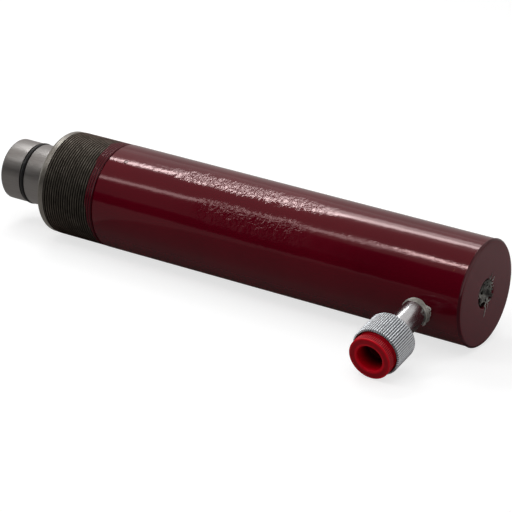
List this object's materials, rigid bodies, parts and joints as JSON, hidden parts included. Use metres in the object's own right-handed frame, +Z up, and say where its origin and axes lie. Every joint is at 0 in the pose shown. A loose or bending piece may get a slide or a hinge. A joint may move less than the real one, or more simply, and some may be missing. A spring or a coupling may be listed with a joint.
{
  "type": "hydraulic ram",
  "caption": "Single-acting hydraulic ram: red barrel with a collar thread, spring-return hollow plunger, and a knurled quick coupler with its dust plug.",
  "frame": {"origin": "centre of the base face, on the ram's axis, at the mouth of the base hole", "axes": "+X out of the base along the ram's axis, so the plunger comes out along -X; +Z up as the ram lies on its side; the coupler points towards -Y and hangs 13.5 degrees below level"},
  "size_m": [0.2889, 0.1011, 0.056],
  "materials": {
    "red_enamel": "glossy baked enamel",
    "bright_steel": "bare machined steel",
    "bronze": "turned bronze",
    "black_rubber": "moulded nitrile",
    "chromed_steel": "ground and hard chromed",
    "polyurethane": "moulded polyurethane",
    "white_ptfe": "wound sealing tape",
    "spring_steel": "oiled spring wire",
    "nickel_plate": "bright nickel plating",
    "zinc_plate": "zinc plated steel",
    "bearing_steel": "polished ball",
    "red_plastic": "moulded polyethylene"
  },
  "bodies": {
    "barrel": {"barrel": "red_enamel", "gland_nut": "bright_steel", "gland_bush": "bronze", "rod_wiper": "black_rubber", "spring_tie_rod": "bright_steel", "tie_rod_seal_tape": "white_ptfe", "spring_washer": "bright_steel", "tie_rod_nut": "zinc_plate", "return_spring": "spring_steel", "coupler_body": "nickel_plate", "port_seal_tape": "white_ptfe", "valve_seat": "nickel_plate", "socket_o_ring": "black_rubber", "check_spring": "spring_steel", "collar_circlip": "spring_steel"},
    "plunger": {"plunger": "chromed_steel", "plunger_ring": "black_rubber", "piston_head": "bright_steel", "piston_cup_seal": "polyurethane", "piston_backup_ring": "white_ptfe", "piston_guide_ring": "bronze"},
    "check_valve": {"check_ball": "bearing_steel"},
    "collar": {"coupler_collar": "zinc_plate"},
    "dust_plug": {"dust_plug": "red_plastic"}
  },
  "joints": [
    {"name": "plunger_slide", "type": "slide", "parent": "barrel", "child": "plunger", "axis": [-1, 0, 0], "range_m": [0, 0.15], "stiffness_N_per_m": 1900, "springref_m": -0.02, "deforming": ["return_spring"]},
    {"name": "collar_spin", "type": "hinge", "parent": "barrel", "child": "collar", "pos_m": [-0.0238, -0.05722, -0.01374], "axis": [0, -0.9724, -0.2334], "continuous": true},
    {"name": "plug_draw", "type": "slide", "parent": "collar", "child": "dust_plug", "axis": [0, -0.9724, -0.2334], "range_m": [0, 0.025]},
    {"name": "check_lift", "type": "slide", "parent": "barrel", "child": "check_valve", "axis": [0, 0.9724, 0.2334], "range_m": [0, 0.0025], "stiffness_N_per_m": 400, "springref_m": -0.003, "deforming": ["check_spring"]}
  ]
}
